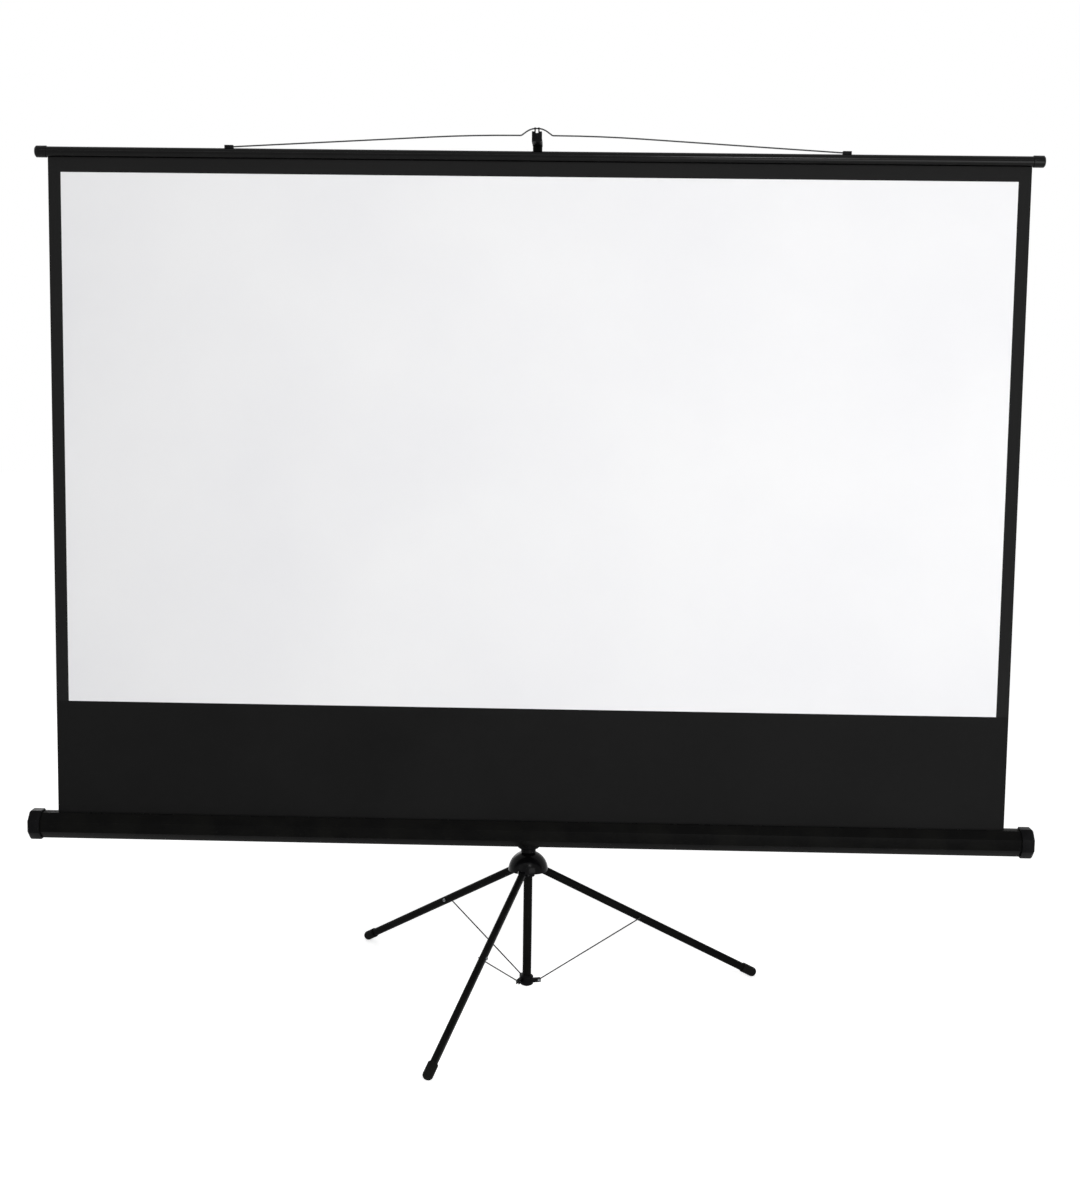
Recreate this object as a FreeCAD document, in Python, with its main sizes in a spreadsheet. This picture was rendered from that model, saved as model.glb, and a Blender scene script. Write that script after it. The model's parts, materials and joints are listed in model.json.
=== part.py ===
"""Portable projection screen on a folding tripod.

A sprung roller in an eight-sided case pays out a picture cloth, whose top slat hangs by a wire
bail from the hook of a telescopic mast. The case slides on the mast. Under it three legs hinge
in a domed hub, tied by wire braces to a spider on a centre post that slides inside the mast.

Millimetres. X runs along the case, Y away from the viewer, Z up. The origin is the point of the
floor under the mast.
"""
import FreeCAD
import Part
import Sketcher
import math
import os

SIZES = {
    # Picture cloth
    "picture_width": 2214,
    "picture_height": 1245,
    "side_border": 30,
    "top_border": 34,
    "black_drop": 273,
    "cloth_thickness": 0.5,
    # Fits shared by all pieces
    "running_clearance": 0.08,
    "sliding_clearance": 0.15,
    "seat_clearance": 0.02,
    "soft_clearance": 0.3,
    # Top slat and its wire bail
    "slat_diameter": 24,
    "slat_wall": 1.4,
    "slat_slit": 2,
    "slat_margin": 1,
    "slat_cap_diameter": 27.6,
    "slat_cap_length": 27,
    "slat_cap_end": 5,
    "slat_cap_bevel": 3,
    "hem_rod_diameter": 6,
    "bail_wire_diameter": 3.4,
    "bail_span": 1426,
    "bail_rise": 32,
    "bail_crown": 292,
    "hump_width": 72,
    "hump_top": 28,
    "hump_height": 16,
    "clip_length": 20,
    "clip_width": 11,
    "clip_height": 9,
    # Mast
    "mast_diameter": 32,
    "mast_wall": 1.5,
    "mast_top": 1400,
    "extension_diameter": 22.4,
    "extension_wall": 1.2,
    "extension_overlap": 150,
    "extension_bush_length": 30,
    "collar_wall": 5,
    "collar_skirt": 36,
    "collar_head": 26,
    # Hook on the mast
    "hook_drop": 29,
    "hook_width": 23.2,
    "hook_shoulder": 23,
    "hook_fork_width": 11.6,
    "hook_seat_depth": 0.3,
    "hook_arm_height": 11,
    "hook_nose_depth": 18,
    "hook_gap": 6,
    "hook_gap_depth": 13,
    "hook_spigot_length": 30,
    # Clamp knobs
    "knob_diameter": 36,
    "knob_length": 20,
    "knob_stem": 7,
    "knob_flute_diameter": 11,
    "clamp_screw_diameter": 6,
    "clamp_boss_diameter": 18,
    "clamp_boss_reach": 31,
    # Tripod hub
    "pivot_height": 315,
    "pivot_radius": 27,
    "pivot_pin_diameter": 5,
    "hub_sleeve_radius": 16,
    "hub_sleeve_drop": 19,
    "hub_plate_gap": 3.5,
    "hub_plate_thickness": 5,
    "hub_plate_radius": 37,
    "hub_ear_thickness": 4,
    "hub_ear_reach": 9,
    "hub_ear_drop": 11,
    "dome_drop": 4,
    "dome_radius": 48.5,
    "dome_wall": 2.5,
    "neck_diameter": 36,
    "neck_base_diameter": 42,
    "neck_rise": 51,
    "mast_socket_depth": 26,
    # Legs and feet
    "right_bearing": 16,
    "rear_bearing": 138,
    "front_bearing": 251,
    "foot_reach": 592,
    "foot_radius": 12,
    "foot_length": 28,
    "foot_tip": 2,
    "sole_depth": 0.6,
    "leg_width": 16,
    "leg_depth": 20,
    "leg_wall": 1.2,
    "leg_play": 0.4,
    "knuckle_length": 22,
    "knuckle_spigot": 32,
    # Braces, spider and centre post
    "brace_diameter": 3.2,
    "brace_bend": 3,
    "brace_play": 0.6,
    "brace_tail": 3.6,
    "brace_cap_diameter": 8,
    "brace_cap_thickness": 2,
    "brace_eye_diameter": 8,
    "brace_eye_thickness": 2.4,
    "spider_height": 35,
    "spider_boss_diameter": 32,
    "spider_boss_top": 11,
    "spider_boss_bottom": 13,
    "spider_prong_thickness": 2.6,
    "spider_prong_reach": 5,
    "spider_rivet_diameter": 3,
    "post_diameter": 21.6,
    "post_wall": 1.2,
    "post_top": 682,
    "post_bush_length": 24,
    # Case and its slider
    "case_setback": 60,
    "case_flats": 62.4,
    "case_wall": 1.2,
    "case_margin": 64.5,
    "case_mouth": 7,
    "case_cap_flats": 70.4,
    "case_cap_length": 30,
    "case_cap_end": 4,
    "case_cap_bevel": 4,
    "slider_radius": 21.5,
    "slider_flange_radius": 26,
    "slider_flange_height": 8,
    "slider_drop": 51.4,
    "slider_rise": 46.6,
    "slider_pad_radius": 21,
    "slider_knob_rise": 28,
    "pivot_bolt_diameter": 10,
    "pivot_head_diameter": 18,
    "pivot_head_thickness": 2,
    "pivot_washer_diameter": 30,
    "pivot_washer_thickness": 1.5,
    "bracket_width": 120,
    "bracket_height": 24,
    "bracket_thickness": 2,
    "bracket_rivet_spacing": 92,
    "bracket_rivet_diameter": 4,
    "bracket_rivet_head": 8,
    # Roller and its spring
    "roller_diameter": 26,
    "roller_wall": 1,
    "roller_shift": 8,
    "roller_margin": 4,
    "winding_thickness": 1,
    "plug_length": 40,
    "plug_flange": 3,
    "gudgeon_diameter": 8,
    "gudgeon_boss_diameter": 16,
    "gudgeon_boss_length": 20,
    "spring_diameter": 20,
    "spring_wire": 2,
    "spring_length": 420,
    "anchor_length": 26,
    "anchor_flange": 4,
}

LEGS = ("right", "rear", "front")

doc = FreeCAD.newDocument("projection_screen")
sheet = doc.addObject("Spreadsheet::Sheet", "sizes")
for row, (alias, size) in enumerate(SIZES.items(), start=1):
    sheet.set(f"A{row}", alias)
    sheet.set(f"B{row}", str(size))
    sheet.setAlias(f"B{row}", alias)
doc.recompute()

# Places and lengths that several pieces share, written in the sheet's own names.
CLOTH_HALF = "(sizes.picture_width / 2 + sizes.side_border)"
CASE_LENGTH = f"(2 * ({CLOTH_HALF} + sizes.case_margin))"
CAP_DEPTH = "(sizes.slat_cap_length - sizes.slat_cap_end)"
SLAT_LENGTH = f"(2 * ({CLOTH_HALF} + sizes.slat_margin + {CAP_DEPTH}))"
DOME_HEIGHT = "(sizes.pivot_height - sizes.dome_drop)"
NECK_TOP = "(sizes.pivot_height + sizes.neck_rise)"
SLIDER_BOTTOM = f"({NECK_TOP} + sizes.soft_clearance)"
SLIDER_HEIGHT = "(sizes.slider_drop + sizes.slider_rise)"
CASE_HEIGHT = f"({SLIDER_BOTTOM} + sizes.slider_drop)"
ROLLER_Y = "(sizes.roller_shift - sizes.case_setback)"
WINDING_RADIUS = "(sizes.roller_diameter / 2 + sizes.winding_thickness)"
CLOTH_Y = f"({ROLLER_Y} - {WINDING_RADIUS} - sizes.soft_clearance - sizes.cloth_thickness / 2)"
CASE_TOP = f"({CASE_HEIGHT} + sizes.case_flats / 2)"
CASE_BACK = "(sizes.case_flats / 2 - sizes.case_setback)"
PICTURE_TOP = f"({CASE_TOP} + sizes.black_drop + sizes.picture_height)"
SLAT_HEIGHT = f"({PICTURE_TOP} + sizes.top_border + sizes.slat_diameter / 2)"
SLAT_INNER = "(sizes.slat_diameter / 2 - sizes.slat_wall)"
BAIL_HEIGHT = f"({SLAT_HEIGHT} + sizes.slat_diameter / 2 + sizes.bail_wire_diameter)"
HOOK_SEAT = f"({BAIL_HEIGHT} + sizes.bail_rise + sizes.hump_height - sizes.bail_wire_diameter / 2)"
EXTENSION_TOP = f"({HOOK_SEAT} - sizes.hook_drop)"
EXTENSION_BOTTOM = "(sizes.mast_top - sizes.extension_overlap)"
MAST_INNER = "(sizes.mast_diameter / 2 - sizes.mast_wall)"
MAST_BOTTOM = f"({NECK_TOP} - sizes.mast_socket_depth)"
SLIDER_PAD = f"({CASE_BACK} + sizes.bracket_thickness + sizes.pivot_washer_thickness)"
FOOT_HEIGHT = "(sizes.foot_radius - sizes.sole_depth)"
LEG_RUN = "(sizes.foot_reach - sizes.pivot_radius)"
LEG_FALL = f"(sizes.pivot_height - {FOOT_HEIGHT})"
LEG_ANGLE = f"atan({LEG_FALL} / {LEG_RUN})"
LEG_LENGTH = f"sqrt({LEG_RUN}^2 + {LEG_FALL}^2)"
BRACE_LENGTH = f"((sizes.pivot_height - sizes.spider_height) / (2 * sin({LEG_ANGLE})))"
BRACE_OFFSET = "(sizes.leg_width / 2 + sizes.brace_play + sizes.brace_bend)"
EAR_INSIDE = "(sizes.leg_width / 2 + sizes.leg_play)"


def value(expression):
    """The number that an expression of the sheet's names gives."""
    result = sheet.evalExpression(str(expression))
    return float(getattr(result, "Value", result))


def place(piece, x=0, y=0, z=0, yaw=0, pitch=0, roll=0):
    """Bind a piece's position and its turns about Z, then Y, then X."""
    turn = f"rotation({yaw}; {pitch}; {roll})"
    piece.setExpression("Placement", f"placement(vector({x}; {y}; {z}); {turn})")
    return piece


def new_body(label):
    return doc.addObject("PartDesign::Body", label)


def new_sketch(body, role, name, offset=0):
    """A sketch on one of the body's origin planes, moved along the plane's normal."""
    sketch = body.newObject("Sketcher::SketchObject", name)
    planes = [item for item in body.Origin.OriginFeatures if item.Role == role]
    sketch.AttachmentSupport = [(planes[0], "")]
    sketch.MapMode = "FlatFace"
    sketch.setExpression("AttachmentOffset", f"placement(vector(0; 0; {offset}); rotation(0; 0; 0))")
    return sketch


def dimension(sketch, kind, *items):
    """Add a constraint whose last item is the expression that drives it."""
    *points, expression = items
    index = sketch.addConstraint(Sketcher.Constraint(kind, *points, value(expression)))
    sketch.setExpression(f"Constraints[{index}]", str(expression))


def outline(sketch, points):
    """A closed outline of straight sides through points given as expressions."""
    first = sketch.GeometryCount
    count = len(points)
    spots = [FreeCAD.Vector(value(x), value(y), 0) for x, y in points]
    for index in range(count):
        sketch.addGeometry(Part.LineSegment(spots[index], spots[(index + 1) % count]))
    for index in range(count):
        after = first + (index + 1) % count
        sketch.addConstraint(Sketcher.Constraint("Coincident", first + index, 2, after, 1))
    for index, (x, y) in enumerate(points):
        for kind, axis, distance in (("DistanceX", -2, x), ("DistanceY", -1, y)):
            if abs(value(distance)) < 1e-9:
                sketch.addConstraint(Sketcher.Constraint("PointOnObject", first + index, 1, axis))
            elif value(distance) > 0:
                dimension(sketch, kind, -1, 1, first + index, 1, distance)
            else:
                dimension(sketch, kind, first + index, 1, -1, 1, f"-({distance})")


def octagon(sketch, flats):
    """A regular eight-sided outline with flats at the top, bottom and sides."""
    half = f"({flats}) / 2"
    corner = f"({flats}) / 2 * tan(22.5)"
    outline(sketch, [
        (corner, half), (half, corner), (half, f"-{corner}"), (corner, f"-{half}"),
        (f"-{corner}", f"-{half}"), (f"-{half}", f"-{corner}"), (f"-{half}", corner), (f"-{corner}", half),
    ])


def circle(sketch, diameter):
    index = sketch.addGeometry(Part.Circle(FreeCAD.Vector(), FreeCAD.Vector(0, 0, 1), value(diameter) / 2))
    sketch.addConstraint(Sketcher.Constraint("Coincident", index, 3, -1, 1))
    dimension(sketch, "Diameter", index, diameter)


def oblong(sketch, width, depth):
    """An upright oval of two half circles joined by straight sides."""
    first = sketch.GeometryCount
    radius = value(width) / 2
    rise = (value(depth) - value(width)) / 2
    normal = FreeCAD.Vector(0, 0, 1)
    top = Part.Circle(FreeCAD.Vector(0, rise, 0), normal, radius)
    bottom = Part.Circle(FreeCAD.Vector(0, -rise, 0), normal, radius)
    sketch.addGeometry(Part.ArcOfCircle(top, 0, math.pi))
    sketch.addGeometry(Part.LineSegment(FreeCAD.Vector(-radius, rise, 0), FreeCAD.Vector(-radius, -rise, 0)))
    sketch.addGeometry(Part.ArcOfCircle(bottom, math.pi, 2 * math.pi))
    sketch.addGeometry(Part.LineSegment(FreeCAD.Vector(radius, -rise, 0), FreeCAD.Vector(radius, rise, 0)))
    for index in range(4):
        after = first + (index + 1) % 4
        sketch.addConstraint(Sketcher.Constraint("Tangent", first + index, 2, after, 1))
    for arc in (first, first + 2):
        sketch.addConstraint(Sketcher.Constraint("PointOnObject", arc, 3, -2))
    dimension(sketch, "Radius", first, f"({width}) / 2")
    dimension(sketch, "DistanceY", -1, 1, first, 3, f"(({depth}) - ({width})) / 2")
    dimension(sketch, "DistanceY", first + 2, 3, -1, 1, f"(({depth}) - ({width})) / 2")


def pad(body, sketch, length):
    feature = body.newObject("PartDesign::Pad", f"{sketch.Name}_pad")
    feature.Profile = sketch
    feature.setExpression("Length", str(length))
    return feature


def pocket(body, sketch, length, upward=False):
    feature = body.newObject("PartDesign::Pocket", f"{sketch.Name}_pocket")
    feature.Profile = sketch
    feature.setExpression("Length", str(length))
    feature.Reversed = upward
    return feature


def solid(body, kind, at=(0, 0, 0), turn=(0, 0, 0), **sizes):
    """Add or cut a cylinder, box or sphere, with its sizes and place bound to the sheet."""
    feature = body.newObject(f"PartDesign::{kind}", f"{body.Name}_{kind}")
    for name, expression in sizes.items():
        feature.setExpression(name, str(expression))
    return place(feature, *at, *turn)


def turned(label, points):
    """A body turned about its own Z axis from an outline of (radius, height) points."""
    body = new_body(label)
    sketch = new_sketch(body, "XZ_Plane", f"{label}_profile")
    outline(sketch, points)
    feature = body.newObject("PartDesign::Revolution", f"{label}_turned")
    feature.Profile = sketch
    feature.ReferenceAxis = (sketch, ["V_Axis"])
    feature.Angle = 360
    return body


def tube(label, outside, inside, length):
    """A round tube that stands on its own XY plane."""
    body = new_body(label)
    sketch = new_sketch(body, "XY_Plane", f"{label}_section")
    circle(sketch, outside)
    circle(sketch, inside)
    pad(body, sketch, length)
    return body


def rod(label, diameter, length):
    """A plain round rod that stands on its own XY plane."""
    piece = doc.addObject("Part::Cylinder", label)
    piece.setExpression("Radius", f"({diameter}) / 2")
    piece.setExpression("Height", str(length))
    return piece


def group(label, pieces):
    """Separate solids that share one node."""
    compound = doc.addObject("Part::Compound", label)
    compound.Links = pieces
    return compound


def bearing(leg):
    return f"sizes.{leg}_bearing"


def spot(leg, radius, side=0):
    """X and Y at a radius along a leg's bearing, and a distance to the clockwise side of it."""
    turn = bearing(leg)
    return (
        f"(({radius}) * cos({turn}) + ({side}) * sin({turn}))",
        f"(({radius}) * sin({turn}) - ({side}) * cos({turn}))",
    )


def hub_core():
    """Leg carrier: a sleeve that guides the post, three pairs of ears, and the mast's socket."""
    plate = "(sizes.leg_depth / 2 + sizes.hub_plate_gap)"
    plate_top = f"({plate} + sizes.hub_plate_thickness)"
    inner_dome = "(sizes.dome_radius - sizes.dome_wall)"
    base = "sizes.neck_base_diameter / 2"
    shoulder = f"(sqrt({inner_dome}^2 - ({base})^2) - sizes.dome_drop - sizes.seat_clearance)"
    neck_top = "sizes.neck_rise"
    bore = "(sizes.post_diameter / 2 + sizes.running_clearance)"
    socket = "(sizes.mast_diameter / 2 + sizes.seat_clearance)"
    floor = f"({MAST_BOTTOM} - sizes.pivot_height)"
    body = turned("hub_core", [
        (bore, "-sizes.hub_sleeve_drop"), ("sizes.hub_sleeve_radius", "-sizes.hub_sleeve_drop"),
        ("sizes.hub_sleeve_radius", plate), ("sizes.hub_plate_radius", plate),
        ("sizes.hub_plate_radius", plate_top), (base, plate_top), (base, shoulder),
        ("sizes.neck_diameter / 2", shoulder), ("sizes.neck_diameter / 2", neck_top),
        (socket, neck_top), (socket, floor), (bore, floor),
    ])
    root = "(sizes.hub_sleeve_radius - 2)"
    for leg in LEGS:
        for edge in (EAR_INSIDE, f"(-{EAR_INSIDE} - sizes.hub_ear_thickness)"):
            x, y = spot(leg, root, f"-{edge}")
            solid(
                body, "AdditiveBox", (x, y, "-sizes.hub_ear_drop"), (bearing(leg), 0, 0),
                Length=f"sizes.pivot_radius + sizes.hub_ear_reach - {root}",
                Width="sizes.hub_ear_thickness",
                Height=f"{plate} + sizes.hub_ear_drop + sizes.hub_plate_thickness / 2",
            )
    for leg in LEGS:
        side = f"({EAR_INSIDE} + sizes.hub_ear_thickness)"
        x, y = spot(leg, "sizes.pivot_radius", f"-{side} - 1")
        solid(
            body, "SubtractiveCylinder", (x, y, 0), (bearing(leg), 0, 90),
            Radius="sizes.pivot_pin_diameter / 2 + sizes.seat_clearance", Height=f"2 * {side} + 2",
        )
    return place(body, z="sizes.pivot_height")


def hub_dome():
    """Half-round cover over the leg pivots, with a hole for the neck and a notch for each leg."""
    body = new_body("hub_dome")
    solid(body, "AdditiveSphere", Radius="sizes.dome_radius", Angle1="0 deg")
    solid(body, "SubtractiveSphere", Radius="sizes.dome_radius - sizes.dome_wall", Angle1="0 deg")
    solid(
        body, "SubtractiveCylinder", Radius="sizes.neck_diameter / 2 + sizes.seat_clearance",
        Height="sizes.dome_radius + 1",
    )
    inner = "(sizes.dome_radius - 2 * sizes.dome_wall)"
    leg_top = (
        f"(sizes.dome_drop - ({inner} - sizes.pivot_radius) * tan({LEG_ANGLE})"
        f" + sizes.leg_depth / 2 / cos({LEG_ANGLE}))"
    )
    width = "(sizes.leg_width + 2 * sizes.leg_play + 2)"
    for leg in LEGS:
        x, y = spot(leg, f"{inner} / 2", f"{width} / 2")
        solid(
            body, "SubtractiveBox", (x, y, -1), (bearing(leg), 0, 0),
            Length="sizes.dome_radius", Width=width, Height=f"{leg_top} + sizes.leg_play + 1",
        )
    return place(body, z=DOME_HEIGHT)


def leg_pivot_pins():
    pins = []
    side = f"({EAR_INSIDE} + sizes.hub_ear_thickness)"
    for leg in LEGS:
        pin = rod(f"{leg}_pivot_pin", "sizes.pivot_pin_diameter", f"2 * {side}")
        x, y = spot(leg, "sizes.pivot_radius", f"-{side}")
        pins.append(place(pin, x, y, "sizes.pivot_height", bearing(leg), 0, 90))
    return group("leg_pivot_pins", pins)


def mast_tube():
    body = tube("mast_tube", "sizes.mast_diameter", f"2 * {MAST_INNER}", f"sizes.mast_top - {MAST_BOTTOM}")
    return place(body, z=MAST_BOTTOM)


def clamp_boss(body, height, inside):
    """A boss on the rear of a sleeve, bored for the clamp screw down to the inside radius."""
    solid(
        body, "AdditiveCylinder", (0, inside, height), (0, 0, -90),
        Radius="sizes.clamp_boss_diameter / 2", Height=f"sizes.clamp_boss_reach - ({inside})",
    )
    solid(
        body, "SubtractiveCylinder", (0, f"({inside}) - 3", height), (0, 0, -90),
        Radius="sizes.clamp_screw_diameter / 2 + sizes.running_clearance",
        Height="sizes.clamp_boss_reach",
    )


def mast_collar():
    """Clamp collar: its skirt is fixed on the mast, and its head guides the extension."""
    outer = "(sizes.mast_diameter / 2 + sizes.collar_wall)"
    guide = "(sizes.extension_diameter / 2 + sizes.sliding_clearance)"
    socket = "(sizes.mast_diameter / 2 + sizes.seat_clearance)"
    body = turned("mast_collar", [
        (socket, "-sizes.collar_skirt"), (outer, "-sizes.collar_skirt"),
        (outer, "sizes.collar_head - sizes.collar_wall / 2"),
        (f"{outer} - sizes.collar_wall / 2", "sizes.collar_head"),
        (guide, "sizes.collar_head"), (guide, "sizes.seat_clearance"), (socket, "sizes.seat_clearance"),
    ])
    clamp_boss(body, "sizes.collar_head / 2", f"{guide} + 2")
    return place(body, z="sizes.mast_top")


def clamp_knob(name, height, inside):
    """A fluted knob and its screw, turned about Y behind the mast."""
    tip = f"({inside} + sizes.soft_clearance)"
    seat = "(sizes.clamp_boss_reach + sizes.knob_stem / 2)"
    radius = "sizes.knob_diameter / 2"
    rim = "2.5"
    stem = "sizes.clamp_boss_diameter / 2"
    hole = "sizes.clamp_screw_diameter / 2 + sizes.seat_clearance"
    knob = turned(f"{name}_knob", [
        (hole, 0), (stem, 0), (stem, "sizes.knob_stem"), (f"{radius} - {rim}", "sizes.knob_stem"),
        (radius, f"sizes.knob_stem + {rim}"), (radius, f"sizes.knob_length - {rim}"),
        (f"{radius} - {rim}", "sizes.knob_length"), (0, "sizes.knob_length"),
        (0, "sizes.knob_length - 4"), (hole, "sizes.knob_length - 4"),
    ])
    flute = solid(
        knob, "SubtractiveCylinder", (f"{radius} + sizes.knob_flute_diameter / 4", 0, "sizes.knob_stem - 1"),
        Radius="sizes.knob_flute_diameter / 2", Height="sizes.knob_length",
    )
    doc.recompute()
    pattern = knob.newObject("PartDesign::PolarPattern", f"{name}_flutes")
    pattern.Originals = [flute]
    axes = [item for item in knob.Origin.OriginFeatures if item.Role == "Z_Axis"]
    pattern.Axis = (axes[0], [""])
    pattern.Angle = 360
    pattern.Occurrences = 7
    knob.Tip = pattern
    place(knob, 0, seat, height, 0, 0, -90)
    screw = rod(
        f"{name}_knob_screw", "sizes.clamp_screw_diameter",
        f"{seat} + sizes.knob_length - 4 - sizes.seat_clearance - {tip}",
    )
    place(screw, 0, tip, height, 0, 0, -90)
    return knob, screw


def extension_tube():
    body = tube(
        "extension_tube", "sizes.extension_diameter", "sizes.extension_diameter - 2 * sizes.extension_wall",
        f"{EXTENSION_TOP} - {EXTENSION_BOTTOM}",
    )
    return place(body, z=EXTENSION_BOTTOM)


def extension_bush():
    """Ring on the foot of the extension that slides in the mast."""
    body = tube(
        "extension_bush", f"2 * ({MAST_INNER} - sizes.sliding_clearance)",
        "sizes.extension_diameter + 2 * sizes.seat_clearance", "sizes.extension_bush_length",
    )
    return place(body, z=EXTENSION_BOTTOM)


def hook_head():
    """Moulded hook: a spigot in the extension, an arm forward over the slat and a forked nose."""
    nose = "(sizes.hook_nose_depth / 2)"
    fork = "(sizes.hook_drop + sizes.bail_wire_diameter)"
    reach = f"(-{CLOTH_Y})"
    body = new_body("hook_head")
    side = new_sketch(body, "YZ_Plane", "hook_side", "-sizes.hook_width / 2")
    outline(side, [
        ("sizes.extension_diameter / 2", 0),
        ("sizes.extension_diameter / 2", "sizes.hook_arm_height / 2"),
        ("sizes.extension_diameter / 4", "sizes.hook_arm_height"),
        (f"-{reach} + {nose} + 4", "sizes.hook_arm_height"),
        (f"-{reach} + {nose}", "sizes.hook_arm_height + 4"),
        (f"-{reach} + {nose}", f"{fork} - 2"), (f"-{reach} + {nose} - 2", fork),
        (f"-{reach} - {nose} + 2", fork), (f"-{reach} - {nose}", f"{fork} - 2"),
        (f"-{reach} - {nose}", 0),
    ])
    pad(body, side, "sizes.hook_width")
    front = f"-{reach} - {nose} - 1"
    shoulder = "((sizes.hook_width - sizes.hook_fork_width) / 2)"
    for start in (f"-sizes.hook_fork_width / 2 - {shoulder} - 1", "sizes.hook_fork_width / 2"):
        solid(
            body, "SubtractiveBox", (start, front, "sizes.hook_shoulder"),
            Length=f"{shoulder} + 1", Width=f"2 * {nose} + 2", Height=f"{fork} - sizes.hook_shoulder + 1",
        )
    solid(
        body, "SubtractiveBox", ("-sizes.hook_gap / 2", front, f"{fork} - sizes.hook_gap_depth"),
        Length="sizes.hook_gap", Width=f"2 * {nose} + 2", Height="sizes.hook_gap_depth + 1",
    )
    groove = "(sizes.bail_wire_diameter + 2 * sizes.soft_clearance)"
    solid(
        body, "SubtractiveBox",
        ("-sizes.hook_width / 2 - 1", f"-{reach} - {groove} / 2", "sizes.hook_drop - sizes.hook_seat_depth"),
        Length="sizes.hook_width + 2", Width=groove, Height=fork,
    )
    solid(
        body, "AdditiveCylinder", (0, 0, "-sizes.hook_spigot_length"),
        Radius="sizes.extension_diameter / 2 - sizes.extension_wall - sizes.seat_clearance",
        Height="sizes.hook_spigot_length + sizes.hook_arm_height / 2",
    )
    return place(body, z=f"{EXTENSION_TOP} + sizes.seat_clearance")


def slat_tube():
    """Round slat tube, slit along its underside for the cloth."""
    body = tube("slat_tube", "sizes.slat_diameter", f"2 * {SLAT_INNER}", SLAT_LENGTH)
    solid(
        body, "SubtractiveBox", (f"{SLAT_INNER} - 1", "-sizes.slat_slit / 2", -1),
        Length="sizes.slat_wall + 2", Width="sizes.slat_slit", Height=f"{SLAT_LENGTH} + 2",
    )
    return place(body, f"-{SLAT_LENGTH} / 2", CLOTH_Y, SLAT_HEIGHT, 0, 90, 0)


def slat_cap(side):
    """End cap that slips over the slat tube, bevelled at its outer end."""
    outer = "sizes.slat_cap_diameter / 2"
    bore = "(sizes.slat_diameter / 2 + sizes.seat_clearance)"
    sign = {"left": "-", "right": ""}[side]
    body = turned(f"slat_cap_{side}", [
        (0, CAP_DEPTH), (bore, CAP_DEPTH), (bore, 0), (f"{outer} - 1", 0), (outer, 1),
        (outer, "sizes.slat_cap_length - sizes.slat_cap_bevel"),
        (f"{outer} - sizes.slat_cap_bevel", "sizes.slat_cap_length"), (0, "sizes.slat_cap_length"),
    ])
    inner_end = f"{sign}({CLOTH_HALF} + sizes.slat_margin + sizes.seat_clearance)"
    return place(body, inner_end, CLOTH_Y, SLAT_HEIGHT, 0, f"{sign}90", 0)


def hem_rod():
    """Rod in the cloth's top hem, which the slit can't let through."""
    piece = rod("hem_rod", "sizes.hem_rod_diameter", "2 * " + CLOTH_HALF)
    height = f"{SLAT_HEIGHT} - {SLAT_INNER} + sizes.hem_rod_diameter / 2 + sizes.seat_clearance"
    return place(piece, f"-{CLOTH_HALF}", CLOTH_Y, height, 0, 90, 0)


def bail_clips():
    """Two saddles on the slat that hold the ends of the bail."""
    clips = []
    for side, sign in (("left", "-"), ("right", "")):
        block = doc.addObject("Part::Box", f"{side}_clip_block")
        block.setExpression("Length", "sizes.clip_length")
        block.setExpression("Width", "sizes.clip_width")
        block.setExpression("Height", "sizes.clip_height")
        x = f"{sign}sizes.bail_span / 2 - sizes.clip_length / 2"
        top = f"({BAIL_HEIGHT} + sizes.bail_wire_diameter)"
        place(block, x, f"{CLOTH_Y} - sizes.clip_width / 2", f"{top} - sizes.clip_height")
        saddle = rod(
            f"{side}_clip_saddle", "sizes.slat_diameter + 2 * sizes.seat_clearance", "2 * sizes.clip_length",
        )
        place(saddle, f"{x} - sizes.clip_length / 2", CLOTH_Y, SLAT_HEIGHT, 0, 90, 0)
        eye_size = "sizes.bail_wire_diameter + 2 * sizes.running_clearance"
        eye = rod(f"{side}_clip_eye", eye_size, "2 * sizes.clip_length")
        place(eye, f"{x} - sizes.clip_length / 2", CLOTH_Y, BAIL_HEIGHT, 0, 90, 0)
        seated = doc.addObject("Part::Cut", f"{side}_clip_seated")
        seated.Base, seated.Tool = block, saddle
        clip = doc.addObject("Part::Cut", f"{side}_clip")
        clip.Base, clip.Tool = seated, eye
        clips.append(clip)
    return group("bail_clips", clips)


def rounded_wire(points, radii):
    """Straight runs through the points, joined at each inner point by a tangent arc."""
    edges = []
    start = points[0]
    for before, corner, after, radius in zip(points, points[1:], points[2:], radii):
        inward = (corner - before).normalize()
        outward = (after - corner).normalize()
        turn = inward.getAngle(outward)
        reach = radius * math.tan(turn / 2)
        first = corner - inward * reach
        last = corner + outward * reach
        middle = corner + (outward - inward).normalize() * (radius / math.cos(turn / 2) - radius)
        edges.append(Part.LineSegment(start, first).toShape())
        edges.append(Part.Arc(first, middle, last).toShape())
        start = last
    edges.append(Part.LineSegment(start, points[-1]).toShape())
    return Part.Wire(edges)


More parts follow.
